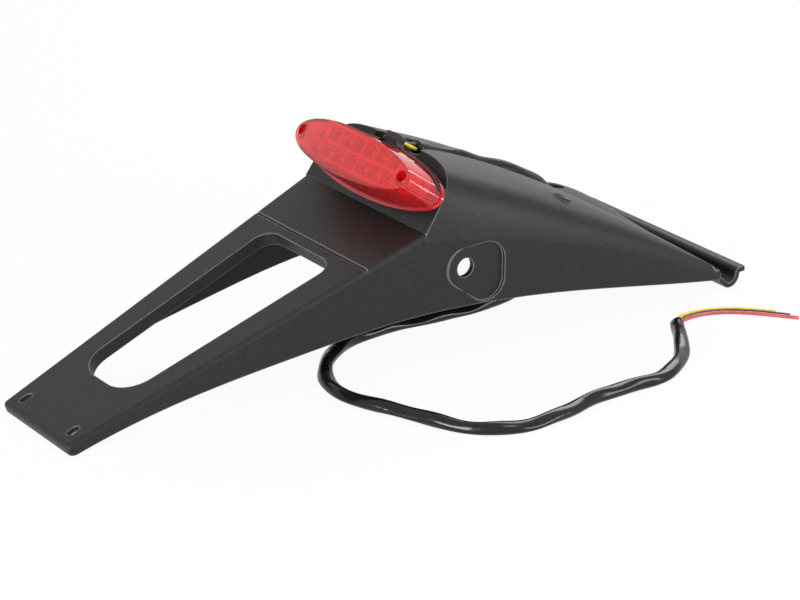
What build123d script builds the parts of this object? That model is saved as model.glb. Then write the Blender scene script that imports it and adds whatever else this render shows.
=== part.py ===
"""Motorbike tail tidy: a moulded number-plate carrier with a red oval lamp and its sleeved lead.

+X runs from the tongue's tip to the front lip, +Y to the far side, +Z up.
The origin lies under the middle of the moulding, on the surface it rests on.
"""
from math import atan, cos, degrees, hypot, pi, radians, sin, tan
import os

from build123d import *

os.makedirs("parts", exist_ok=True)

# Moulding: overall sizes. Distances along the moulding are measured from the tongue's tip.
LENGTH = 392.0
SKIN = 2.8
TIP_HALF_WIDTH = 31.0
TIP_TOP = 5.6
TIP_LAND = 3.0
TIP_OVERHANG = 1.6
TONGUE_SLOPE = 19.4
TONGUE_EDGE_ROUND = 2.4
TIP_CORNER_ROUND = 2.0
FLOOR_END = 190.0
FLOOR_HALF_WIDTH = 51.9
SEAM_DISTANCE = 156.6
SEAM_WIDTH = 1.6
SEAM_DEPTH = 1.0

# Front gutter and its hooked lip
LIP_REACH = 4.6
LIP_FOOT = LENGTH - LIP_REACH
LIP_TOP = 10.7
LIP_ROUND = 1.5
LIP_LEAN = 2.6
GUTTER_BOTTOM = LIP_FOOT - LIP_LEAN
GUTTER_CORNER = -2.1
GUTTER_ROUND = 5.0
GUTTER_RUN = 9.8
GUTTER_OVERLAP = 0.6
GUTTER_SINK = 0.8
GUTTER_INSET = 0.2

# Hood: the crown is the top of the hood's rear edge, the crests are the two upper edges of the roof
BULKHEAD_LEAN = 35.6
CROWN_DISTANCE = 213.0
CROWN_HEIGHT = 101.0
CROWN_SHOULDER = 36.0
CROWN_TUCK = 2.5
SHOULDER_FULLNESS = 0.78
HOOD_END = GUTTER_BOTTOM - GUTTER_RUN
HOOD_END_HALF_WIDTH = 63.0
HOOD_END_CREST = 11.8
HOOD_END_RIM = 1.8
HOOD_END_SHOULDER = 4.0
ROOF_START_SLOPE = 19.9

# Roof between the crests: a channel for the lead that opens out to a shallow tray at the front.
# Stations stand evenly from the floor's end to the hood's end. Each gives the crests' share of the
# moulding's width, the depth at the foot of the crests and the swell of the middle above that depth.
CHANNEL_DEPTH = 6.0
TRAY_DEPTH = 3.0
TRAY_SIDE = 0.8
TRAY_SWELL = 7.5
ROOF_STATIONS = [
    (0.462, CHANNEL_DEPTH, 0.0),
    (0.313, CHANNEL_DEPTH, 0.0),
    (0.177, CHANNEL_DEPTH, 0.0),
    (0.156, CHANNEL_DEPTH, 0.0),
    (0.164, CHANNEL_DEPTH, 0.0),
    (0.325, 0.75 * CHANNEL_DEPTH, 0.5 * TRAY_SWELL),
    (0.563, TRAY_DEPTH, TRAY_SWELL),
    (0.778, TRAY_DEPTH, 0.8 * TRAY_SWELL),
    (1.0, TRAY_DEPTH, 0.0),
]

# Heights that the hood's closed body is drawn between
BELOW = -20.0
ABOVE = 160.0

# Lower edge of the walls, as distance and height
ARCH = [(56.0, 14.2), (120.0, 24.0), (180.0, 30.0), (225.0, 29.4), (271.0, 24.6), (330.0, 14.6)]
ARCH_END_HEIGHT = 6.8

# Window through the tongue, with a turned-down lip
WINDOW_START = 35.5
WINDOW_END = 151.0
WINDOW_START_HALF = 21.5
WINDOW_END_HALF = 29.0
WINDOW_START_ROUND = 16.0
WINDOW_END_ROUND = 9.0
WINDOW_LIP_DEPTH = 7.0
WINDOW_LIP_WALL = 2.2

# Plate slots, indicator seats and roof fixings
SLOT_DISTANCE = 6.8
SLOT_SPACING = 44.4
SLOT_LENGTH = 7.0
SLOT_WIDTH = 4.2
INDICATOR_DISTANCE = 212.0
INDICATOR_HEIGHT = 50.6
INDICATOR_BORE = 10.0
SEAT_RADIUS = 10.6
SEAT_RUN = 12.4
SEAT_RISE = 0.5
SEAT_DROP = 9.4
SEAT_WALL = 3.0
FIXING_SHARE = 0.503
FIXING_RUN_SHARE = 0.3337
FIXING_BORE = 7.0
FIXING_PAD = 6.5
FIXING_SINK = 1.9
FIXING_FRONT_LIFT = 3.5
SLEEVE_HOLE_SHARE = 0.608
SLEEVE_HOLE_LENGTH = 30.0
SLEEVE_HOLE_WIDTH = 10.0

# Lamp, along its axis from the bulkhead: gasket, base, seal, lens
LAMP_RISE = 19.5
GASKET_HALF_WIDTH = 49.0
GASKET_HALF_HEIGHT = 13.4
GASKET_THICKNESS = 1.5
BASE_HALF_WIDTH = 52.5
BASE_HALF_HEIGHT = 15.4
BASE_DEPTH = 5.0
BASE_WALL = 2.0
OUTLET_OFFSET = 2.0
OUTLET_WIDTH = 12.0
OUTLET_FOOT = 11.0
OUTLET_TOP = 18.5
OUTLET_BACK = 2.2
OUTLET_THICKNESS = 3.8
OUTLET_ROUND = 1.5
SEAL_THICKNESS = 0.8
SEAL_WIDTH = 2.0
LENS_RIM_HALF_WIDTH = 53.6
LENS_RIM_HALF_HEIGHT = 16.3
LENS_RIM_THICKNESS = 1.2
LENS_RIM_WIDTH = 1.0
LENS_FACE_HALF_WIDTH = 47.7
LENS_FACE_HALF_HEIGHT = 12.7
LENS_FACE_RADIUS = 250.0
LENS_HEIGHT = 19.6
LENS_WALL = 2.0
LENS_FACE_LIFT = -0.5
SCREW_SPACING = 84.0
SCREW_DROP = 0.7
SCREW_BOSS_RADIUS = 3.9
SCREW_RECESS_RADIUS = 2.9
SCREW_HEAD_RADIUS = 2.6
SCREW_HEAD_HEIGHT = 1.8
SCREW_SHANK_RADIUS = 1.25
SCREW_SHANK_CLEARANCE = 0.2
SCREW_SEAT = 3.2
SCREW_LENGTH = 8.0
DRIVE_WIDTH = 0.7
DRIVE_LENGTH = 3.0
DRIVE_DEPTH = 0.9
BOARD_STANDOFF = 4.7
BOARD_THICKNESS = 1.6
BOARD_HALF_WIDTH = 47.3
BOARD_HALF_HEIGHT = 10.2
LED_RADIUS = 2.5
LED_HEIGHT = 5.2
LED_DOME = 2.2
LED_COLUMNS = 6
LED_ROWS = 2
LED_PITCH_ACROSS = 10.0
LED_PITCH_UP = 9.0
REFLECTOR_WEB = 1.2
REFLECTOR_WIDTH = LED_COLUMNS * LED_PITCH_ACROSS + REFLECTOR_WEB
REFLECTOR_HEIGHT = LED_ROWS * LED_PITCH_UP + REFLECTOR_WEB
REFLECTOR_ROUND = 4.0
REFLECTOR_DEPTH = 6.0
RESISTOR_LENGTH = 3.2
RESISTOR_WIDTH = 1.6
RESISTOR_HEIGHT = 0.7
RESISTOR_GAP = 1.2
RESISTOR_SPACING = REFLECTOR_WIDTH + RESISTOR_LENGTH + 2 * RESISTOR_GAP
RESISTOR_PITCH = 4.4
STUD_SPACING = 62.0
STUD_RADIUS = 2.5
STUD_CLEARANCE = 0.3
STUD_LENGTH = 12.3
STUD_HEAD_RADIUS = 4.2
STUD_HEAD_HEIGHT = 2.2
NUT_ACROSS_FLATS = 8.0
NUT_HEIGHT = 4.0
NUT_CLEARANCE = 0.1
WASHER_RADIUS = 5.0
WASHER_THICKNESS = 1.0

# Lead: a sleeve and three wires, each route as points along its middle
SLEEVE_RADIUS = 3.0
WIRE_RADIUS = 1.0
BEND_SHARE = 0.45
SLEEVE_ROUTE = [
    (24.0, -1.9, 96.3),
    (38.0, -0.6, 90.7),
    (54.0, 0.2, 84.0),
    (74.0, 0.6, 74.6),
    (93.0, 0.2, 67.4),
    (109.0, -0.5, 56.0),
    (117.0, -1.2, 38.5),
    (113.5, -2.5, 21.5),
    (100.0, -5.0, 9.5),
    (81.0, -8.0, 3.8),
    (59.0, -9.0, 3.1),
    (33.0, -6.5, 3.1),
    (7.0, -2.5, 3.1),
    (-17.0, -4.0, 3.1),
    (-38.0, -13.5, 3.1),
    (-53.0, -30.0, 3.1),
    (-60.5, -50.0, 3.1),
    (-55.5, -71.0, 3.1),
    (-46.0, -92.0, 3.1),
    (-38.5, -112.5, 3.1),
    (-26.0, -128.5, 3.1),
    (-8.0, -136.0, 3.1),
    (13.0, -135.0, 3.1),
    (35.0, -130.5, 3.1),
    (57.0, -130.0, 3.1),
    (77.0, -132.0, 3.1),
    (94.0, -125.0, 3.1),
    (106.5, -114.5, 3.1),
    (117.5, -101.0, 3.1),
    (127.8, -86.7, 3.1),
]
LAMP_WIRES = {
    "lamp_wire_yellow": [(13.6, -4.6, 102.1), (18.2, -5.6, 98.8), (22.9, -3.2, 96.05)],
    "lamp_wire_red": [(13.6, 0.6, 102.2), (18.6, 0.5, 98.3), (23.3, -0.65, 95.85)],
    "lamp_wire_black": [(13.5, -2.0, 102.2), (18.5, -2.1, 99.3), (24.1, -1.9, 97.65)],
}
LEAD_WIRES = {
    "lead_yellow": [
        (127.2, -85.65, 3.7),
        (136.6, -77.8, 1.8),
        (149.5, -76.6, 1.1),
        (162.5, -81.4, 1.1),
        (173.6, -90.6, 1.1),
        (182.4, -101.4, 1.1),
    ],
    "lead_black": [
        (128.1, -86.3, 1.8),
        (137.7, -80.0, 1.2),
        (149.4, -79.0, 1.1),
        (161.4, -83.7, 1.1),
        (171.9, -92.6, 1.1),
        (180.8, -103.2, 1.1),
        (185.2, -109.4, 1.1),
    ],
    "lead_red": [
        (129.1, -86.8, 3.7),
        (138.8, -82.2, 1.8),
        (149.3, -81.4, 1.1),
        (160.3, -86.0, 1.1),
        (170.2, -94.6, 1.1),
        (178.8, -104.6, 1.1),
        (186.4, -114.4, 1.1),
    ],
}


def station(distance):
    """X of a point this far from the tongue's tip."""
    return distance - LENGTH / 2


# Planes that the moulding and the lamp are drawn on
tongue_rise = tan(radians(TONGUE_SLOPE))
floor_height = TIP_TOP + FLOOR_END * tongue_rise
lean_sine = sin(radians(BULKHEAD_LEAN))
lean_cosine = cos(radians(BULKHEAD_LEAN))
tongue_plane = Plane(
    origin=(station(0), 0, TIP_TOP),
    x_dir=(cos(radians(TONGUE_SLOPE)), 0, sin(radians(TONGUE_SLOPE))),
    z_dir=(-sin(radians(TONGUE_SLOPE)), 0, cos(radians(TONGUE_SLOPE))),
)
tip_plane = Plane(
    origin=(station(-TIP_OVERHANG), 0, TIP_TOP - TIP_OVERHANG * tongue_rise),
    x_dir=(0, 1, 0),
    z_dir=tongue_plane.x_dir,
)
lamp_plane = Plane(
    origin=(
        station(FLOOR_END) + LAMP_RISE * lean_sine,
        0,
        floor_height + LAMP_RISE * lean_cosine,
    ),
    x_dir=(0, -1, 0),
    z_dir=(-lean_cosine, 0, lean_sine),
)


def along_tongue(distance):
    """Length along the tongue's face of a point this far from the tip in plan."""
    return distance / cos(radians(TONGUE_SLOPE))


def wall_half_width(distance):
    """Half the moulding's width: straight along the tongue, then bowing to parallel at the front."""
    flare = (FLOOR_HALF_WIDTH - TIP_HALF_WIDTH) / FLOOR_END
    if distance <= FLOOR_END:
        return TIP_HALF_WIDTH + flare * distance
    run = distance - FLOOR_END
    full_run = HOOD_END - FLOOR_END
    bow = (HOOD_END_HALF_WIDTH - FLOOR_HALF_WIDTH - flare * full_run) / full_run**2
    return FLOOR_HALF_WIDTH + flare * run + bow * run**2


def roof_fraction(distance):
    return (distance - CROWN_DISTANCE) / (HOOD_END - CROWN_DISTANCE)


def crest_height(distance):
    """Height of the roof's crest: a parabola that steepens towards the front."""
    run = distance - CROWN_DISTANCE
    full_run = HOOD_END - CROWN_DISTANCE
    start = tan(radians(ROOF_START_SLOPE))
    steepening = (CROWN_HEIGHT - HOOD_END_CREST - start * full_run) / full_run**2
    return CROWN_HEIGHT - start * run - steepening * run**2


def roof_slope(distance):
    """Fall of the roof at a distance, in degrees."""
    step = 0.5
    return degrees(atan((crest_height(distance - step) - crest_height(distance + step)) / (2 * step)))


def shoulder_height(distance):
    return CROWN_SHOULDER + (HOOD_END_SHOULDER - CROWN_SHOULDER) * roof_fraction(distance)


def along_hood(share):
    """Distance of a point at this share of the way from the floor's end to the hood's end."""
    return FLOOR_END + share * (HOOD_END - FLOOR_END)


def hood_section(index, skin, foot):
    """Cross-section of the hood, drawn in by a skin thickness. The hollow's ceiling passes under the tray."""
    tray_share, depth, swell = ROOF_STATIONS[index]
    distance = along_hood(index / (len(ROOF_STATIONS) - 1))
    wall = wall_half_width(distance) - skin
    floor = crest_height(distance) - depth - skin
    shoulder = crest_height(distance) - shoulder_height(distance) - skin
    tray = min(tray_share * wall_half_width(distance) + skin, wall - HOOD_END_RIM)
    crest = floor + min(depth, wall - tray) if skin else floor + depth
    tuck = CROWN_TUCK * shoulder_height(distance) / CROWN_SHOULDER
    lift = SHOULDER_FULLNESS * (crest - shoulder)
    reach = SHOULDER_FULLNESS * (wall - tray)
    with BuildSketch(Plane.YZ.offset(station(distance))) as section:
        with BuildLine():
            side = tray - TRAY_SIDE
            top = floor + 4 / 3 * swell
            Bezier((-side, floor), (-side / 3, top), (side / 3, top), (side, floor))
            Line((side, floor), (tray, crest))
            Bezier((tray, crest), (tray + reach, crest), (wall - tuck, shoulder + lift), (wall, shoulder))
            Line((wall, shoulder), (wall, foot))
            Line((wall, foot), (-wall, foot))
            Line((-wall, foot), (-wall, shoulder))
            Bezier((-wall, shoulder), (tuck - wall, shoulder + lift), (-tray - reach, crest), (-tray, crest))
            Line((-tray, crest), (-side, floor))
        make_face()
    return section.sketch


def hull(skin):
    """Closed body of tongue and hood, drawn in by a skin thickness."""
    # Space above the tongue and behind the lamp's bulkhead
    drop = skin / cos(radians(TONGUE_SLOPE))
    back = skin / lean_cosine
    lean = tan(radians(BULKHEAD_LEAN))
    corner_x = (back - drop * lean) / (1 - tongue_rise * lean)
    corner_z = floor_height - drop + corner_x * tongue_rise
    top_x = FLOOR_END + back + (ABOVE - floor_height) * lean
    with BuildSketch(Plane.XZ) as space:
        with BuildLine():
            Polyline(
                (station(-FLOOR_END), TIP_TOP - drop - FLOOR_END * tongue_rise),
                (station(FLOOR_END + corner_x), corner_z),
                (station(top_x), ABOVE),
                (station(-FLOOR_END), ABOVE),
                close=True,
            )
        make_face()
    with BuildPart() as hood:
        loft([hood_section(index, skin, BELOW) for index in range(len(ROOF_STATIONS))])
        extrude(space.sketch, amount=LENGTH, both=True, mode=Mode.SUBTRACT)
    # The tip's end face stands square to the tongue, so its top edge overhangs
    start = skin - TIP_OVERHANG
    with BuildPart() as body:
        with BuildSketch(Plane.XY.offset(BELOW)):
            with BuildLine():
                Polyline(
                    (station(start), wall_half_width(start) - skin),
                    (station(FLOOR_END), FLOOR_HALF_WIDTH - skin),
                    (station(FLOOR_END), -FLOOR_HALF_WIDTH + skin),
                    (station(start), -wall_half_width(start) + skin),
                    close=True,
                )
            make_face()
        extrude(amount=ABOVE - BELOW)
        extrude(space.sketch, amount=LENGTH, both=True, mode=Mode.SUBTRACT)
        split(bisect_by=tip_plane.offset(skin), keep=Keep.TOP)
        if not skin:
            tip = faces().sort_by(Axis.X)[0].edges().sort_by(Axis.Y)
            fillet([tip[0], tip[-1]], TIP_CORNER_ROUND)
            fillet(faces().filter_by(tongue_plane).edges().sort_by(Axis.X)[:-1], TONGUE_EDGE_ROUND)
        add(hood.part)
    return body.part


def window_outline(grow):
    """Trapezoid with rounded corners on the tongue's face, grown outwards all round."""
    start = along_tongue(WINDOW_START) - grow
    end = along_tongue(WINDOW_END) + grow
    with BuildSketch(tongue_plane) as window:
        with BuildLine():
            Polyline(
                (start, WINDOW_START_HALF + grow),
                (end, WINDOW_END_HALF + grow),
                (end, -WINDOW_END_HALF - grow),
                (start, -WINDOW_START_HALF - grow),
                close=True,
            )
        make_face()
        fillet(window.vertices().group_by(Axis.X)[0], WINDOW_START_ROUND + grow)
        fillet(window.vertices().group_by(Axis.X)[-1], WINDOW_END_ROUND + grow)
    return window.sketch


# Indicator seats: oblong flats square to the Y axis, proud of the wall at the rear, sunk at the front
seat_face = wall_half_width(INDICATOR_DISTANCE)
near_seat = Plane(
    origin=(station(INDICATOR_DISTANCE), -seat_face, INDICATOR_HEIGHT),
    x_dir=(1, 0, 0),
    z_dir=(0, -1, 0),
)


with BuildSketch(near_seat) as seat_outline:
    Circle(SEAT_RADIUS)
    with Locations((SEAT_RUN, SEAT_RISE), (SEAT_RUN, -SEAT_DROP)):
        Circle(SEAT_RADIUS)
    make_hull()

with BuildPart() as seat_pocket:
    extrude(seat_outline.sketch, amount=2 * SEAT_RADIUS)

with BuildPart() as seat_plate:
    extrude(seat_outline.sketch, amount=-SEAT_WALL)

with BuildPart() as seat_bore:
    with BuildSketch(near_seat):
        Circle(INDICATOR_BORE / 2)
    extrude(amount=2 * SEAT_WALL, both=True)

# Three roof fixings at the corners of an equal-sided triangle, on one plane from shoulders to tray
rear_fixing = along_hood(FIXING_SHARE)
fixing_run = FIXING_RUN_SHARE * (HOOD_END - FLOOR_END)
rear_fixing_height = crest_height(rear_fixing) - FIXING_SINK
fixing_fall = rear_fixing_height - crest_height(rear_fixing + fixing_run) - FIXING_FRONT_LIFT
fixing_circle = 2 / 3 * hypot(fixing_run, fixing_fall)
fixing_plane = Plane(
    origin=(station(rear_fixing + fixing_run / 3), 0, rear_fixing_height - fixing_fall / 3),
    x_dir=(fixing_run, 0, -fixing_fall),
    z_dir=(fixing_fall, 0, fixing_run),
)
sleeve_hole_distance = along_hood(SLEEVE_HOLE_SHARE)
sleeve_hole_tilt = radians(roof_slope(sleeve_hole_distance))
sleeve_hole_plane = Plane(
    origin=(station(sleeve_hole_distance), 0, crest_height(sleeve_hole_distance) - TRAY_DEPTH),
    x_dir=(cos(sleeve_hole_tilt), 0, -sin(sleeve_hole_tilt)),
    z_dir=(sin(sleeve_hole_tilt), 0, cos(sleeve_hole_tilt)),
)
gutter_start = HOOD_END - GUTTER_OVERLAP
outer_hull = hull(0)
inner_hull = hull(SKIN)

# Tail moulding
with BuildPart() as tail_moulding:
    add(outer_hull)
    add(inner_hull, mode=Mode.SUBTRACT)
    with BuildSketch(Plane.XZ):
        with BuildLine():
            arch = Spline(
                (station(TIP_LAND), 0),
                *[(station(distance), height) for distance, height in ARCH],
                (station(HOOD_END), ARCH_END_HEIGHT),
            )
            Polyline(
                arch @ 1,
                (LENGTH, ARCH_END_HEIGHT),
                (LENGTH, 2 * BELOW),
                (-LENGTH, 2 * BELOW),
                (-LENGTH, 0),
                arch @ 0,
            )
        make_face()
    extrude(amount=LENGTH, both=True, mode=Mode.SUBTRACT)
    # Front gutter: the roof turns down, under and up to a hooked lip
    with BuildSketch(Plane.XZ):
        with BuildLine():
            FilletPolyline(
                (station(gutter_start), crest_height(gutter_start) - TRAY_DEPTH - SKIN / 2 - GUTTER_SINK),
                (station(GUTTER_BOTTOM), GUTTER_CORNER),
                (station(LIP_FOOT), LIP_TOP - SKIN / 2),
                (LENGTH / 2, LIP_TOP - SKIN / 2),
                radius=[GUTTER_ROUND, LIP_ROUND],
            )
        trace(line_width=SKIN)
    extrude(amount=HOOD_END_HALF_WIDTH - GUTTER_INSET, both=True)
    # Window with its turned-down lip
    extrude(window_outline(WINDOW_LIP_WALL), amount=-WINDOW_LIP_DEPTH)
    extrude(window_outline(0), amount=2 * WINDOW_LIP_DEPTH, both=True, mode=Mode.SUBTRACT)
    # Seam across the tongue and the slots for the plate's screws
    with BuildSketch(tongue_plane):
        with Locations((along_tongue(SEAM_DISTANCE), 0)):
            Rectangle(SEAM_WIDTH, 4 * FLOOR_HALF_WIDTH)
    extrude(amount=SEAM_DEPTH, both=True, mode=Mode.SUBTRACT)
    with BuildSketch(tongue_plane):
        with Locations((along_tongue(SLOT_DISTANCE), 0)):
            with GridLocations(0, SLOT_SPACING, 1, 2):
                SlotOverall(SLOT_LENGTH, SLOT_WIDTH)
    extrude(amount=2 * WINDOW_LIP_DEPTH, both=True, mode=Mode.SUBTRACT)
    # Indicator seats on both sides
    add(seat_pocket.part, mode=Mode.SUBTRACT)
    mirror(seat_pocket.part, about=Plane.XZ, mode=Mode.SUBTRACT)
    add(seat_plate.part)
    mirror(seat_plate.part, about=Plane.XZ)
    add(seat_bore.part, mode=Mode.SUBTRACT)
    mirror(seat_bore.part, about=Plane.XZ, mode=Mode.SUBTRACT)
    # Roof fixings and the sleeve's hole
    with BuildSketch(fixing_plane):
        with PolarLocations(fixing_circle, 3):
            Circle(FIXING_PAD)
    extrude(amount=-FIXING_PAD)
    with BuildSketch(fixing_plane):
        with PolarLocations(fixing_circle, 3):
            Circle(FIXING_BORE / 2)
    extrude(amount=2 * FIXING_PAD, both=True, mode=Mode.SUBTRACT)
    with BuildSketch(sleeve_hole_plane):
        SlotOverall(SLEEVE_HOLE_LENGTH, SLEEVE_HOLE_WIDTH)
    extrude(amount=2 * CHANNEL_DEPTH, both=True, mode=Mode.SUBTRACT)
    # Holes for the lamp's studs
    with BuildSketch(lamp_plane):
        with GridLocations(STUD_SPACING, 0, 2, 1):
            Circle(STUD_RADIUS + STUD_CLEARANCE)
    extrude(amount=2 * SKIN, both=True, mode=Mode.SUBTRACT)
tail_moulding.part.label = "tail_moulding"
export_step(tail_moulding.part, "parts/tail_moulding.step")

# Levels of the lamp's pieces above the bulkhead
base_floor = GASKET_THICKNESS + BASE_WALL
base_rim = GASKET_THICKNESS + BASE_DEPTH
lens_back = base_rim + SEAL_THICKNESS
lens_front = lens_back + LENS_HEIGHT
board_back = base_floor + BOARD_STANDOFF
board_front = board_back + BOARD_THICKNESS
screw_seat = board_front + SCREW_SEAT
lamp_section = Plane(origin=lamp_plane.origin, x_dir=lamp_plane.x_dir, z_dir=-lamp_plane.y_dir)
lamp_axis = Axis(lamp_plane.origin, lamp_plane.z_dir)


def screw_places():
    return GridLocations(SCREW_SPACING, 0, 2, 1)


def stud_places():
    return GridLocations(STUD_SPACING, 0, 2, 1)


def led_places():
    return GridLocations(LED_PITCH_ACROSS, LED_PITCH_UP, LED_COLUMNS, LED_ROWS)


# Gasket between the lamp and the bulkhead
with BuildPart() as lamp_gasket:
    with BuildSketch(lamp_plane):
        Ellipse(GASKET_HALF_WIDTH, GASKET_HALF_HEIGHT)
        with stud_places():
            Circle(STUD_RADIUS + STUD_CLEARANCE, mode=Mode.SUBTRACT)
    extrude(amount=GASKET_THICKNESS)
lamp_gasket.part.label = "lamp_gasket"
export_step(lamp_gasket.part, "parts/lamp_gasket.step")

# Lamp base: a shallow oval tray with screw posts and an outlet for the wires at its top
with BuildPart() as lamp_base:
    with BuildSketch(lamp_plane.offset(GASKET_THICKNESS)):
        Ellipse(BASE_HALF_WIDTH, BASE_HALF_HEIGHT)
    extrude(amount=BASE_DEPTH)
    with BuildSketch(lamp_plane.offset(base_floor)):
        Ellipse(BASE_HALF_WIDTH - BASE_WALL, BASE_HALF_HEIGHT - BASE_WALL)
    extrude(amount=BASE_DEPTH, mode=Mode.SUBTRACT)
    with BuildSketch(lamp_plane.offset(OUTLET_BACK)):
        with Locations((OUTLET_OFFSET, (OUTLET_FOOT + OUTLET_TOP) / 2)):
            RectangleRounded(OUTLET_WIDTH, OUTLET_TOP - OUTLET_FOOT, OUTLET_ROUND)
    extrude(amount=OUTLET_THICKNESS)
    with BuildSketch(lamp_plane.offset(base_floor)):
        with Locations((0, -SCREW_DROP)):
            with screw_places():
                Circle(SCREW_BOSS_RADIUS)
    extrude(amount=BOARD_STANDOFF)
    with BuildSketch(lamp_plane.offset(board_back)):
        with Locations((0, -SCREW_DROP)):
            with screw_places():
                Circle(SCREW_SHANK_RADIUS + SCREW_SHANK_CLEARANCE)
    extrude(amount=-BOARD_STANDOFF, mode=Mode.SUBTRACT)
    with BuildSketch(lamp_plane):
        with stud_places():
            Circle(STUD_RADIUS + STUD_CLEARANCE)
    extrude(amount=base_rim, mode=Mode.SUBTRACT)
lamp_base.part.label = "lamp_base"
export_step(lamp_base.part, "parts/lamp_base.step")

# Seal between base and lens
with BuildPart() as lens_seal:
    with BuildSketch(lamp_plane.offset(base_rim)):
        Ellipse(BASE_HALF_WIDTH, BASE_HALF_HEIGHT)
        Ellipse(BASE_HALF_WIDTH - SEAL_WIDTH, BASE_HALF_HEIGHT - SEAL_WIDTH, mode=Mode.SUBTRACT)
    extrude(amount=SEAL_THICKNESS)
lens_seal.part.label = "lens_seal"
export_step(lens_seal.part, "parts/lens_seal.step")


def beyond_face(level):
    """Region in front of the lens's bowed face, whose middle is at this level."""
    half = LENS_RIM_HALF_WIDTH
    edge = level - LENS_FACE_RADIUS + (LENS_FACE_RADIUS**2 - half**2) ** 0.5
    with BuildSketch(lamp_section) as region:
        with BuildLine():
            ThreePointArc((-half, edge), (0, level), (half, edge))
            Polyline((half, edge), (half, 2 * lens_front), (-half, 2 * lens_front), (-half, edge))
        make_face()
    return region.sketch


# Lens: a flared skirt with a foot rim, a bowed face and two sunk screw wells
with BuildPart() as lens_hollow:
    with BuildSketch(lamp_plane.offset(lens_back)):
        Ellipse(
            LENS_RIM_HALF_WIDTH - LENS_RIM_WIDTH - LENS_WALL,
            LENS_RIM_HALF_HEIGHT - LENS_RIM_WIDTH - LENS_WALL,
        )
    with BuildSketch(lamp_plane.offset(lens_front)):
        with Locations((0, LENS_FACE_LIFT)):
            Ellipse(LENS_FACE_HALF_WIDTH - LENS_WALL, LENS_FACE_HALF_HEIGHT - LENS_WALL)
    loft()
    extrude(
        beyond_face(lens_front - LENS_WALL), amount=LENS_RIM_HALF_WIDTH, both=True, mode=Mode.SUBTRACT
    )
    with BuildSketch(lamp_plane.offset(board_front)):
        with Locations((0, -SCREW_DROP)):
            with screw_places():
                Circle(SCREW_BOSS_RADIUS)
    extrude(amount=LENS_HEIGHT, mode=Mode.SUBTRACT)

with BuildPart() as lamp_lens:
    with BuildSketch(lamp_plane.offset(lens_back)):
        Ellipse(LENS_RIM_HALF_WIDTH - LENS_RIM_WIDTH, LENS_RIM_HALF_HEIGHT - LENS_RIM_WIDTH)
    with BuildSketch(lamp_plane.offset(lens_front)):
        with Locations((0, LENS_FACE_LIFT)):
            Ellipse(LENS_FACE_HALF_WIDTH, LENS_FACE_HALF_HEIGHT)
    loft()
    extrude(beyond_face(lens_front), amount=LENS_RIM_HALF_WIDTH, both=True, mode=Mode.SUBTRACT)
    with BuildSketch(lamp_plane.offset(lens_back)):
        Ellipse(LENS_RIM_HALF_WIDTH, LENS_RIM_HALF_HEIGHT)
    extrude(amount=LENS_RIM_THICKNESS)
    add(lens_hollow.part, mode=Mode.SUBTRACT)
    with BuildSketch(lamp_plane.offset(screw_seat)):
        with Locations((0, -SCREW_DROP)):
            with screw_places():
                Circle(SCREW_RECESS_RADIUS)
    extrude(amount=LENS_HEIGHT, mode=Mode.SUBTRACT)
    with BuildSketch(lamp_plane.offset(lens_back)):
        with Locations((0, -SCREW_DROP)):
            with screw_places():
                Circle(SCREW_SHANK_RADIUS + SCREW_SHANK_CLEARANCE)
    extrude(amount=LENS_HEIGHT, mode=Mode.SUBTRACT)
lamp_lens.part.label = "lamp_lens"
export_step(lamp_lens.part, "parts/lamp_lens.step")

# Circuit board, clamped between the base's posts and the lens's wells
with BuildPart() as circuit_board:
    with BuildSketch(lamp_plane.offset(board_back)):
        Ellipse(BOARD_HALF_WIDTH, BOARD_HALF_HEIGHT)
        with Locations((0, -SCREW_DROP)):
            with screw_places():
                Circle(SCREW_SHANK_RADIUS + SCREW_SHANK_CLEARANCE, mode=Mode.SUBTRACT)
    extrude(amount=BOARD_THICKNESS)
circuit_board.part.label = "circuit_board"
export_step(circuit_board.part, "parts/circuit_board.step")

# Light-emitting diodes in two rows
with BuildPart() as tail_leds:
    with BuildSketch(lamp_plane.offset(board_front)):
        with led_places():
            Circle(LED_RADIUS)
    extrude(amount=LED_HEIGHT)
    fillet(faces().filter_by(lamp_plane).group_by(lamp_axis)[-1].edges(), LED_DOME)
tail_leds.part.label = "tail_leds"
export_step(tail_leds.part, "parts/tail_leds.step")

# Resistors at both ends of the board
with BuildPart() as board_resistors:
    with BuildSketch(lamp_plane.offset(board_front)):
        with GridLocations(RESISTOR_SPACING, RESISTOR_PITCH, 2, 2):
            Rectangle(RESISTOR_LENGTH, RESISTOR_WIDTH)
    extrude(amount=RESISTOR_HEIGHT)
board_resistors.part.label = "board_resistors"
export_step(board_resistors.part, "parts/board_resistors.step")

# Reflector: one square cell round each diode
with BuildPart() as reflector:
    with BuildSketch(lamp_plane.offset(board_front)):
        RectangleRounded(REFLECTOR_WIDTH, REFLECTOR_HEIGHT, REFLECTOR_ROUND)
        with led_places():
            Rectangle(LED_PITCH_ACROSS - REFLECTOR_WEB, LED_PITCH_UP - REFLECTOR_WEB, mode=Mode.SUBTRACT)
    extrude(amount=REFLECTOR_DEPTH)
reflector.part.label = "reflector"
export_step(reflector.part, "parts/reflector.step")

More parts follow.
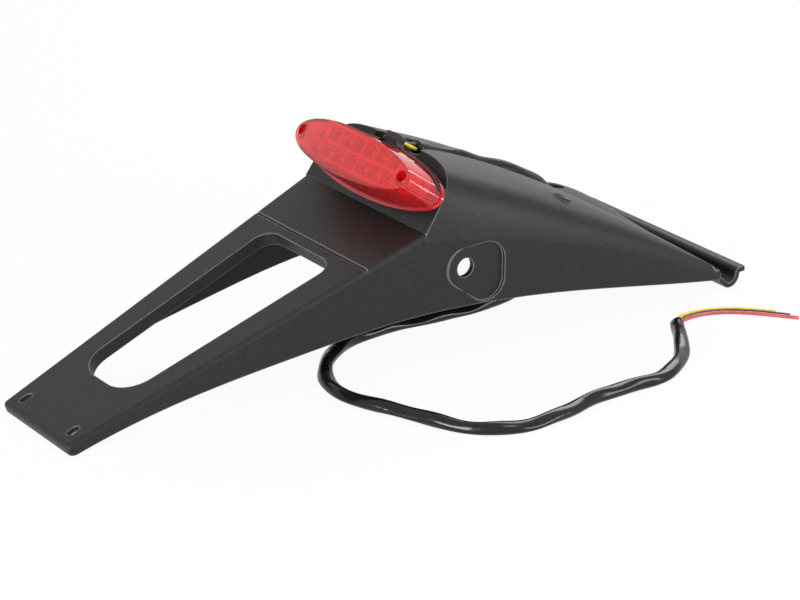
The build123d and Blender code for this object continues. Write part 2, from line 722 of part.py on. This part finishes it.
# Lens screws with a crossed drive
with BuildPart() as lens_screws:
    with BuildSketch(lamp_plane.offset(screw_seat)):
        with Locations((0, -SCREW_DROP)):
            with screw_places():
                Circle(SCREW_HEAD_RADIUS)
    extrude(amount=SCREW_HEAD_HEIGHT)
    with BuildSketch(lamp_plane.offset(screw_seat)):
        with Locations((0, -SCREW_DROP)):
            with screw_places():
                Circle(SCREW_SHANK_RADIUS)
    extrude(amount=-SCREW_LENGTH)
    with BuildSketch(lamp_plane.offset(screw_seat + SCREW_HEAD_HEIGHT)):
        with Locations((0, -SCREW_DROP)):
            with screw_places():
                Rectangle(DRIVE_WIDTH, DRIVE_LENGTH)
                Rectangle(DRIVE_LENGTH, DRIVE_WIDTH)
    extrude(amount=-DRIVE_DEPTH, mode=Mode.SUBTRACT)
lens_screws.part.label = "lens_screws"
export_step(lens_screws.part, "parts/lens_screws.step")

# Studs through the bulkhead, with washers and nuts under the hood
with BuildPart() as lamp_studs:
    with BuildSketch(lamp_plane.offset(base_floor)):
        with stud_places():
            Circle(STUD_HEAD_RADIUS)
    extrude(amount=STUD_HEAD_HEIGHT)
    with BuildSketch(lamp_plane.offset(base_floor)):
        with stud_places():
            Circle(STUD_RADIUS)
    extrude(amount=-STUD_LENGTH)
lamp_studs.part.label = "lamp_studs"
export_step(lamp_studs.part, "parts/lamp_studs.step")

with BuildPart() as lamp_washers:
    with BuildSketch(lamp_plane.offset(-SKIN)):
        with stud_places():
            Circle(WASHER_RADIUS)
            Circle(STUD_RADIUS + STUD_CLEARANCE, mode=Mode.SUBTRACT)
    extrude(amount=-WASHER_THICKNESS)
lamp_washers.part.label = "lamp_washers"
export_step(lamp_washers.part, "parts/lamp_washers.step")

with BuildPart() as lamp_nuts:
    with BuildSketch(lamp_plane.offset(-SKIN - WASHER_THICKNESS)):
        with stud_places():
            RegularPolygon(NUT_ACROSS_FLATS / 2, 6, major_radius=False)
            Circle(STUD_RADIUS + NUT_CLEARANCE, mode=Mode.SUBTRACT)
    extrude(amount=-NUT_HEIGHT)
lamp_nuts.part.label = "lamp_nuts"
export_step(lamp_nuts.part, "parts/lamp_nuts.step")


def cord(name, points, radius):
    """Round cord along straight runs joined by tangent bends as wide as the runs allow."""
    places = [Vector(*point) for point in points]
    bends = []
    for before, here, after in zip(places, places[1:], places[2:]):
        shorter = min((here - before).length, (after - here).length)
        half_turn = radians((here - before).get_angle(after - here)) / 2
        bends.append(BEND_SHARE * shorter / tan(half_turn))
    with BuildPart() as tube:
        with BuildLine():
            route = FilletPolyline(*points, radius=bends)
        with BuildSketch(Plane(origin=route @ 0, z_dir=route % 0)):
            Circle(radius)
        sweep()
    fill = tube.part.volume / (pi * radius**2 * route.length)
    print(f"{name}: length {route.length:.1f}, tightest bend {min(bends):.1f}, volume ratio {fill:.3f}")
    tube.part.label = name
    export_step(tube.part, f"parts/{name}.step")


cord("harness_sleeve", SLEEVE_ROUTE, SLEEVE_RADIUS)
for wire, route_points in (LAMP_WIRES | LEAD_WIRES).items():
    cord(wire, route_points, WIRE_RADIUS)
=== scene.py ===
"""Looks of the tail tidy: camera, light, floor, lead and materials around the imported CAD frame."""
import math

import bpy
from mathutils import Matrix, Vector


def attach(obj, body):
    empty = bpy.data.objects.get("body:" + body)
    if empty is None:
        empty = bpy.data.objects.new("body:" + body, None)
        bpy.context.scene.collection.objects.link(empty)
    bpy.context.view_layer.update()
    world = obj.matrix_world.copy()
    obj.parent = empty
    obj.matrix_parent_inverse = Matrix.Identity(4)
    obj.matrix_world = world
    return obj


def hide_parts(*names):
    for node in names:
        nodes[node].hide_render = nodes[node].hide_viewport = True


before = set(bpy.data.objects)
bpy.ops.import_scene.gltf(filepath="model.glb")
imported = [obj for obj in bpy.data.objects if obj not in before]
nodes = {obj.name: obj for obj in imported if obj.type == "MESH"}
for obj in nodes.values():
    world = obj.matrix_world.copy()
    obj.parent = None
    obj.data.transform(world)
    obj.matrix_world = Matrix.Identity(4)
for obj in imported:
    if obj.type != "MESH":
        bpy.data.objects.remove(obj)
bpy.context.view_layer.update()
scene = bpy.context.scene

# Camera at the photograph's angle
CAMERA_PLACE = (-0.7617, -1.0597, 0.5746)
CAMERA_AIM = (0.5443, 0.7418, -0.3919)
CAMERA_LENS = 126.05
CAMERA_SENSOR = 36.0

camera_data = bpy.data.cameras.new("camera")
camera_data.sensor_width = CAMERA_SENSOR
camera_data.lens = CAMERA_LENS
camera = bpy.data.objects.new("camera", camera_data)
camera.location = CAMERA_PLACE
camera.rotation_mode = "QUATERNION"
camera.rotation_quaternion = Vector(CAMERA_AIM).to_track_quat("-Z", "Y")
scene.collection.objects.link(camera)
scene.camera = camera

# White floor and background, soft light from above and from both sides
WHITE = (1.0, 1.0, 1.0, 1.0)
FLOOR_SIZE = 12.0
FLOOR_COLOUR = (0.9, 0.9, 0.9, 1.0)
FLOOR_ROUGHNESS = 0.9
FLOOR_SPECULAR = 0.1
FLOOR_WHITENESS = 0.94
WORLD_LIGHT = 0.4
scene.view_settings.view_transform = "Standard"
world = bpy.data.worlds.new("studio")
scene.world = world
world.use_nodes = True


def link(tree, start, start_socket, end, end_socket):
    tree.links.new(start.outputs[start_socket], end.inputs[end_socket])


def seen(tree, share):
    """The share where a camera, mirror or glass ray arrives, nothing otherwise."""
    path = tree.nodes.new("ShaderNodeLightPath")
    mirrored = tree.nodes.new("ShaderNodeMath")
    mirrored.operation = "MAXIMUM"
    through = tree.nodes.new("ShaderNodeMath")
    through.operation = "MAXIMUM"
    part = tree.nodes.new("ShaderNodeMath")
    part.operation = "MULTIPLY"
    part.inputs[1].default_value = share
    link(tree, path, "Is Camera Ray", mirrored, 0)
    link(tree, path, "Is Glossy Ray", mirrored, 1)
    link(tree, mirrored, 0, through, 0)
    link(tree, path, "Is Transmission Ray", through, 1)
    link(tree, through, 0, part, 0)
    return part


world_tree = world.node_tree
world_tree.nodes.clear()
world_light = world_tree.nodes.new("ShaderNodeBackground")
world_light.inputs["Strength"].default_value = WORLD_LIGHT
world_white = world_tree.nodes.new("ShaderNodeBackground")
for background in (world_light, world_white):
    background.inputs["Color"].default_value = WHITE
world_mix = world_tree.nodes.new("ShaderNodeMixShader")
world_out = world_tree.nodes.new("ShaderNodeOutputWorld")
link(world_tree, seen(world_tree, 1.0), 0, world_mix, 0)
link(world_tree, world_light, 0, world_mix, 1)
link(world_tree, world_white, 0, world_mix, 2)
link(world_tree, world_mix, 0, world_out, "Surface")


def area_light(name, place, target, size, power):
    data = bpy.data.lights.new(name, "AREA")
    data.shape = "RECTANGLE"
    data.size, data.size_y = size
    data.energy = power
    light = bpy.data.objects.new(name, data)
    light.location = place
    light.rotation_mode = "QUATERNION"
    light.rotation_quaternion = (Vector(target) - Vector(place)).to_track_quat("-Z", "Y")
    scene.collection.objects.link(light)


area_light("light_front", place=(1.1, 0.6, 1.1), target=(0.05, 0.0, 0.05), size=(1.0, 0.8), power=14.0)
area_light("light_left", place=(-1.6, -0.5, 0.25), target=(0.0, 0.0, 0.05), size=(0.9, 0.45), power=29.0)
area_light("light_right", place=(0.7, -1.4, 0.4), target=(0.1, 0.0, 0.05), size=(0.8, 0.6), power=13.0)
area_light("light_edge", place=(0.2, -0.6, 1.25), target=(0.0, 0.0, 0.05), size=(0.35, 0.2), power=3.0)

bpy.ops.mesh.primitive_plane_add(size=FLOOR_SIZE, location=(0, 0, 0))
floor = bpy.context.object
floor.name = "floor"
floor_material = bpy.data.materials.new("floor_white")
floor_material.use_nodes = True
floor_tree = floor_material.node_tree
floor_shader = floor_tree.nodes["Principled BSDF"]
floor_shader.inputs["Base Color"].default_value = FLOOR_COLOUR
floor_shader.inputs["Roughness"].default_value = FLOOR_ROUGHNESS
floor_shader.inputs["Specular IOR Level"].default_value = FLOOR_SPECULAR
floor_white = floor_tree.nodes.new("ShaderNodeEmission")
floor_mix = floor_tree.nodes.new("ShaderNodeMixShader")
link(floor_tree, seen(floor_tree, FLOOR_WHITENESS), 0, floor_mix, 0)
link(floor_tree, floor_shader, 0, floor_mix, 1)
link(floor_tree, floor_white, 0, floor_mix, 2)
link(floor_tree, floor_mix, 0, floor_tree.nodes["Material Output"], "Surface")
floor.data.materials.append(floor_material)


# Materials. An edge gets a painted highlight: its colour is lighter where its rounded normal turns away
# from the true one, not at all at the first cosine, fully at the second.
EDGE_COSINES = (0.985, 0.82)
EDGE_SAMPLES = 6
METAL_GRAIN = 900.0
ACRYLIC_IOR = 1.49
COAT_ROUGHNESS = 0.02


def grey(level):
    return (level, level, level)


def new_material(name):
    material = bpy.data.materials.new(name)
    material.use_nodes = True
    tree = material.node_tree
    shader = tree.nodes["Principled BSDF"]
    return material, tree, shader


def object_noise(tree, scale, detail=3.0):
    place = tree.nodes.new("ShaderNodeTexCoord")
    noise = tree.nodes.new("ShaderNodeTexNoise")
    noise.inputs["Scale"].default_value = scale
    noise.inputs["Detail"].default_value = detail
    link(tree, place, "Object", noise, "Vector")
    return noise


def grain(tree, shader, scale, strength, depth):
    """Fine bump all over."""
    noise = object_noise(tree, scale)
    bump = tree.nodes.new("ShaderNodeBump")
    bump.inputs["Strength"].default_value = strength
    bump.inputs["Distance"].default_value = depth
    link(tree, noise, "Fac", bump, "Height")
    link(tree, bump, "Normal", shader, "Normal")
    return noise, bump


def tinted(tree, shader, noise, dark, light, low=0.35, high=0.65):
    """Colour that goes from dark to light with the noise."""
    ramp = tree.nodes.new("ShaderNodeValToRGB")
    ramp.color_ramp.elements[0].position = low
    ramp.color_ramp.elements[0].color = (*dark, 1.0)
    ramp.color_ramp.elements[1].position = high
    ramp.color_ramp.elements[1].color = (*light, 1.0)
    link(tree, noise, "Fac", ramp, "Fac")
    link(tree, ramp, "Color", shader, "Base Color")
    return ramp


def plastic(name, dark, light, roughness, scale, strength, depth, specular=0.5):
    material, tree, shader = new_material(name)
    shader.inputs["Roughness"].default_value = roughness
    shader.inputs["Specular IOR Level"].default_value = specular
    noise, _ = grain(tree, shader, scale, strength, depth)
    tinted(tree, shader, noise, dark, light)
    return material


def moulded(name, dark, light, edge_highlight, roughness, specular, scale, strength, depth, edge):
    """Grained plastic whose edges are rounded a little and given a painted highlight, a lighter colour."""
    material, tree, shader = new_material(name)
    shader.inputs["Roughness"].default_value = roughness
    shader.inputs["Specular IOR Level"].default_value = specular
    noise, bump = grain(tree, shader, scale, strength, depth)
    ramp = tinted(tree, shader, noise, dark, light)
    bevel = tree.nodes.new("ShaderNodeBevel")
    bevel.samples = EDGE_SAMPLES
    bevel.inputs["Radius"].default_value = edge
    link(tree, bevel, "Normal", bump, "Normal")
    surface = tree.nodes.new("ShaderNodeNewGeometry")
    turn = tree.nodes.new("ShaderNodeVectorMath")
    turn.operation = "DOT_PRODUCT"
    link(tree, bevel, "Normal", turn, 0)
    link(tree, surface, "Normal", turn, 1)
    # Painted highlight: how far the base colour is lightened along edges
    highlight_share = tree.nodes.new("ShaderNodeMapRange")
    highlight_share.inputs["From Min"].default_value, highlight_share.inputs["From Max"].default_value = EDGE_COSINES
    link(tree, turn, "Value", highlight_share, "Value")
    blend = tree.nodes.new("ShaderNodeMix")
    blend.data_type = "RGBA"
    blend.inputs["B"].default_value = (*edge_highlight, 1.0)
    link(tree, highlight_share, "Result", blend, "Factor")
    link(tree, ramp, "Color", blend, "A")
    link(tree, blend, "Result", shader, "Base Color")
    return material


def clear_red(name, colour, roughness, clearness, coat=0.0):
    material, _, shader = new_material(name)
    shader.inputs["Base Color"].default_value = (*colour, 1.0)
    shader.inputs["Roughness"].default_value = roughness
    shader.inputs["IOR"].default_value = ACRYLIC_IOR
    shader.inputs["Transmission Weight"].default_value = clearness
    shader.inputs["Coat Weight"].default_value = coat
    shader.inputs["Coat Roughness"].default_value = COAT_ROUGHNESS
    return material


def metal(name, dark, light, roughness):
    material, tree, shader = new_material(name)
    shader.inputs["Metallic"].default_value = 1.0
    shader.inputs["Roughness"].default_value = roughness
    noise = object_noise(tree, METAL_GRAIN)
    tinted(tree, shader, noise, dark, light)
    return material


def insulation(name, dark, light):
    return plastic(name, dark, light, roughness=0.3, scale=400.0, strength=0.1, depth=0.0001)


body_plastic = moulded(
    "body_plastic",
    dark=(0.0065, 0.0065, 0.0067),
    light=(0.018, 0.018, 0.0185),
    # Colour of the painted highlight along the edges
    edge_highlight=grey(0.2),
    roughness=0.46,
    specular=0.25,
    scale=1500.0,
    strength=0.35,
    depth=0.0002,
    edge=0.0011,
)
base_plastic = plastic(
    "lamp_base_plastic", grey(0.012), grey(0.018), roughness=0.4, scale=800.0, strength=0.1, depth=0.0001
)
rubber = plastic(
    "rubber", grey(0.012), grey(0.02), roughness=0.75, scale=1200.0, strength=0.3, depth=0.0002
)
board_mask = plastic(
    "board", (0.82, 0.81, 0.79), (0.9, 0.89, 0.87), roughness=0.4, scale=300.0, strength=0.05, depth=0.0001
)
resistor = plastic(
    "resistor", grey(0.02), grey(0.03), roughness=0.6, scale=900.0, strength=0.1, depth=0.0001
)
reflector_bright = metal("reflector_plastic", (0.85, 0.83, 0.82), (0.93, 0.92, 0.91), roughness=0.18)
zinc = metal("zinc_steel", (0.55, 0.55, 0.56), (0.68, 0.68, 0.69), roughness=0.3)
red_lens = clear_red("red_lens", (1.0, 0.035, 0.045), roughness=0.02, clearness=0.79, coat=0.25)
led_resin = clear_red("led_resin", (1.0, 0.75, 0.75), roughness=0.05, clearness=1.0)
sleeve_vinyl = plastic(
    "sleeve_vinyl",
    grey(0.004),
    grey(0.008),
    roughness=0.19,
    scale=110.0,
    strength=0.3,
    depth=0.001,
    specular=0.3,
)
wire_yellow = insulation("wire_yellow", (0.83, 0.62, 0.02), (0.9, 0.7, 0.03))
wire_red = insulation("wire_red", (0.47, 0.06, 0.065), (0.54, 0.08, 0.085))
wire_black = insulation("wire_black", grey(0.012), grey(0.018))

LOOKS = {
    "tail_moulding": body_plastic,
    "lamp_gasket": rubber,
    "lamp_base": base_plastic,
    "lens_seal": rubber,
    "lamp_lens": red_lens,
    "circuit_board": board_mask,
    "tail_leds": led_resin,
    "board_resistors": resistor,
    "reflector": reflector_bright,
    "lens_screws": zinc,
    "lamp_studs": zinc,
    "lamp_washers": zinc,
    "lamp_nuts": zinc,
    "harness_sleeve": sleeve_vinyl,
    "lamp_wire_yellow": wire_yellow,
    "lamp_wire_red": wire_red,
    "lamp_wire_black": wire_black,
    "lead_yellow": wire_yellow,
    "lead_red": wire_red,
    "lead_black": wire_black,
}
for node, material in LOOKS.items():
    mesh = nodes[node].data
    mesh.materials.clear()
    mesh.materials.append(material)

# Lead: sizes and the points of each route, in metres. The sleeve's diameter is the solid's.
SLEEVE_DIAMETER = 0.006
SLEEVE_WIDTH = 0.008
SLEEVE_THICKNESS = 0.0066
WIRE_DIAMETER = 0.002
WIRE_ROUNDNESS = 4
ROUTE_STEPS = 12
ROUTE_ORDER = 3
SLEEVE_ROUTE = [
    (0.0240, -0.0019, 0.0963),
    (0.0380, -0.0006, 0.0907),
    (0.0540, 0.0002, 0.0840),
    (0.0740, 0.0006, 0.0746),
    (0.0930, 0.0002, 0.0674),
    (0.1090, -0.0005, 0.0560),
    (0.1170, -0.0012, 0.0385),
    (0.1135, -0.0025, 0.0215),
    (0.1000, -0.0050, 0.0095),
    (0.0810, -0.0080, 0.0038),
    (0.0590, -0.0090, 0.0031),
    (0.0330, -0.0065, 0.0031),
    (0.0070, -0.0025, 0.0031),
    (-0.0170, -0.0040, 0.0031),
    (-0.0380, -0.0135, 0.0031),
    (-0.0530, -0.0300, 0.0031),
    (-0.0605, -0.0500, 0.0031),
    (-0.0555, -0.0710, 0.0031),
    (-0.0460, -0.0920, 0.0031),
    (-0.0385, -0.1125, 0.0031),
    (-0.0260, -0.1285, 0.0031),
    (-0.0080, -0.1360, 0.0031),
    (0.0130, -0.1350, 0.0031),
    (0.0350, -0.1305, 0.0031),
    (0.0570, -0.1300, 0.0031),
    (0.0770, -0.1320, 0.0031),
    (0.0940, -0.1250, 0.0031),
    (0.1065, -0.1145, 0.0031),
    (0.1175, -0.1010, 0.0031),
    (0.1278, -0.0867, 0.0031),
]
LEADS = {
    "lead_yellow": (wire_yellow, 0.0668, [
        (0.1272, -0.08565, 0.0037),
        (0.1366, -0.0778, 0.0018),
        (0.1495, -0.0766, 0.0011),
        (0.1625, -0.0814, 0.0011),
        (0.1736, -0.0906, 0.0011),
        (0.1824, -0.1014, 0.0011),
    ]),
    "lead_black": (wire_black, 0.0708, [
        (0.1281, -0.0863, 0.0018),
        (0.1377, -0.0800, 0.0012),
        (0.1494, -0.0790, 0.0011),
        (0.1614, -0.0837, 0.0011),
        (0.1719, -0.0926, 0.0011),
        (0.1808, -0.1032, 0.0011),
        (0.1852, -0.1094, 0.0011),
    ]),
    "lead_red": (wire_red, 0.0717, [
        (0.1291, -0.0868, 0.0037),
        (0.1388, -0.0822, 0.0018),
        (0.1493, -0.0814, 0.0011),
        (0.1603, -0.0860, 0.0011),
        (0.1702, -0.0946, 0.0011),
        (0.1788, -0.1046, 0.0011),
        (0.1864, -0.1144, 0.0011),
    ]),
}


def route_curve(name, points):
    """Smooth line with the route's points as its control points."""
    curve = bpy.data.curves.new(name, "CURVE")
    curve.dimensions = "3D"
    curve.resolution_u = ROUTE_STEPS
    spline = curve.splines.new("NURBS")
    spline.points.add(len(points) - 1)
    for point, place in zip(spline.points, points):
        point.co = (*place, 1.0)
    spline.order_u = ROUTE_ORDER
    spline.use_endpoint_u = True
    return curve


def add_piece(name, data, material, node):
    piece = bpy.data.objects.new(name, data)
    data.materials.append(material)
    scene.collection.objects.link(piece)
    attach(piece, "root")
    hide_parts(node)
    return piece


def line_points(name, points):
    """Points along a route's smooth line."""
    guide = bpy.data.objects.new(name, route_curve(name, points))
    scene.collection.objects.link(guide)
    bpy.context.view_layer.update()
    line = bpy.data.meshes.new_from_object(guide.evaluated_get(bpy.context.evaluated_depsgraph_get()))
    places = [vertex.co.copy() for vertex in line.vertices]
    bpy.data.meshes.remove(line)
    curve = guide.data
    bpy.data.objects.remove(guide)
    bpy.data.curves.remove(curve)
    return places


# Limp sleeve: how far and over which lengths it sags and is dented
SLEEVE_SIDES = 28
SLEEVE_SAG = 0.0008
SAG_WAVES = (0.083, 0.047)
SLEEVE_DENT = 0.09
DENT_WAVE = 0.071
DENT_TURN_WAVE = 0.097
DENT_CORNERS = 3
SLEEVE_WALL = 0.0005
SLEEVE_MOUTH_DEPTH = 0.012


def wave(distance, length):
    return math.sin(2 * math.pi * distance / length)


def sleeve_ring(place, ahead, distance, inset):
    """Outline of the limp sleeve: flatter in some stretches, dented in others, its underside in place."""
    across = ahead.cross(Vector((0, 0, 1))).normalized()
    upward = across.cross(ahead).normalized()
    sag = SLEEVE_SAG * wave(distance, SAG_WAVES[0]) * wave(distance, SAG_WAVES[1])
    depth = SLEEVE_DENT * wave(distance, DENT_WAVE) ** 2
    turn = wave(distance, DENT_TURN_WAVE)
    half_width = (SLEEVE_WIDTH + sag) / 2 - inset
    half_height = (SLEEVE_THICKNESS - sag) / 2 - inset
    middle = place - upward * (SLEEVE_DIAMETER - SLEEVE_THICKNESS + sag) / 2
    ring = []
    for side in range(SLEEVE_SIDES):
        angle = 2 * math.pi * side / SLEEVE_SIDES
        dent = 1 - depth * (1 + math.sin(DENT_CORNERS * angle + turn))
        wide = across * (half_width * dent * math.cos(angle))
        tall = upward * (half_height * dent * math.sin(angle))
        ring.append(middle + wide + tall)
    return ring


def sleeve_mesh(name, places):
    """Soft sleeve along the line, closed where it starts and open where the wires come out."""
    count = len(places)
    aheads = [
        (places[min(index + 1, count - 1)] - places[max(index - 1, 0)]).normalized()
        for index in range(count)
    ]
    rings = []
    distance = 0.0
    for index, (place, ahead) in enumerate(zip(places, aheads)):
        if index:
            distance += (place - places[index - 1]).length
        rings.append(sleeve_ring(place, ahead, distance, 0.0))
    mouth, outward = places[-1], aheads[-1]
    rings.append(sleeve_ring(mouth, outward, distance, SLEEVE_WALL))
    rings.append(sleeve_ring(mouth - outward * SLEEVE_MOUTH_DEPTH, outward, distance, SLEEVE_WALL))
    vertices = [corner for ring in rings for corner in ring]
    faces = []
    for index in range(len(rings) - 1):
        here, there = index * SLEEVE_SIDES, (index + 1) * SLEEVE_SIDES
        for side in range(SLEEVE_SIDES):
            after = (side + 1) % SLEEVE_SIDES
            faces.append((here + side, here + after, there + after, there + side))
    faces.append(tuple(range(SLEEVE_SIDES))[::-1])
    faces.append(tuple(range(len(vertices) - SLEEVE_SIDES, len(vertices))))
    mesh = bpy.data.meshes.new(name)
    mesh.from_pydata(vertices, [], faces)
    mesh.shade_smooth()
    return mesh


# Lens: the solid with a slimmer face and a rim that reaches further back over the base.
# Each pair of values is for the rim and for the face.
LAMP_PLACE = Vector((0.00535, 0.0, 0.08837))
LAMP_LEAN = math.radians(35.6)
LAMP_ACROSS = Vector((0.0, -1.0, 0.0))
LAMP_OUT = Vector((-math.cos(LAMP_LEAN), 0.0, math.sin(LAMP_LEAN)))
LAMP_UP = LAMP_OUT.cross(LAMP_ACROSS)
LENS_LEVELS = (0.0073, 0.0269)
LENS_WIDTHS = (1.039, 0.973)
LENS_HEIGHTS = (0.926, 0.972)
LENS_DROPS = (0.0021, 0.0012)
LENS_SHIFTS = (-0.0029, 0.0003)
LENS_FACE_RADIUS = 0.25
WELL_PLACE = 0.042
WELL_REACH = 0.0042


def between(pair, share):
    return pair[0] + (pair[1] - pair[0]) * share


def shaped_lens_point(point):
    """Where a point of the solid's lens goes. The screw wells keep their places across the lamp."""
    offset = point - LAMP_PLACE
    across, up, out = offset.dot(LAMP_ACROSS), offset.dot(LAMP_UP), offset.dot(LAMP_OUT)
    face = LENS_LEVELS[1] - LENS_FACE_RADIUS + math.sqrt(LENS_FACE_RADIUS**2 - across**2)
    share = min(1.0, max(0.0, (out - LENS_LEVELS[0]) / (face - LENS_LEVELS[0])))
    if math.hypot(abs(across) - WELL_PLACE, up) > WELL_REACH:
        across *= between(LENS_WIDTHS, share)
        up = up * between(LENS_HEIGHTS, share) - between(LENS_DROPS, share)
    out += between(LENS_SHIFTS, share)
    return LAMP_PLACE + LAMP_ACROSS * across + LAMP_UP * up + LAMP_OUT * out


BASE_TUCK = 0.79
OUTLET_MIDDLE = 0.002
OUTLET_REACH = 0.0065
OUTLET_FOOT = 0.0108


def tucked_point(point):
    """Where a point of base or seal goes: its upper half is drawn in under the lens, but for the outlet."""
    offset = point - LAMP_PLACE
    up = offset.dot(LAMP_UP)
    on_outlet = abs(offset.dot(LAMP_ACROSS) - OUTLET_MIDDLE) < OUTLET_REACH and up > OUTLET_FOOT
    if up <= 0 or on_outlet:
        return point
    return point - LAMP_UP * up * (1 - BASE_TUCK)


def shaped_piece(name, node, material, place):
    """Piece with the node's own mesh, each point moved by a rule."""
    shape = nodes[node].data.copy()
    shape.materials.clear()
    for vertex in shape.vertices:
        vertex.co = place(nodes[node].matrix_world @ vertex.co)
    add_piece(name, shape, material, node)


shaped_piece("lens", "lamp_lens", red_lens, shaped_lens_point)
shaped_piece("base", "lamp_base", base_plastic, tucked_point)
shaped_piece("seal", "lens_seal", rubber, tucked_point)

sleeve_line = line_points("sleeve_guide", SLEEVE_ROUTE)
sleeve = add_piece(
    "lead_sleeve", sleeve_mesh("lead_sleeve", sleeve_line), sleeve_vinyl, "harness_sleeve"
)
for node, (material, length, points) in LEADS.items():
    curve = route_curve(f"{node}_wire", points)
    curve.bevel_depth = WIRE_DIAMETER / 2
    curve.bevel_resolution = WIRE_ROUNDNESS
    curve.use_fill_caps = True
    wire = add_piece(f"{node}_wire", curve, material, node)
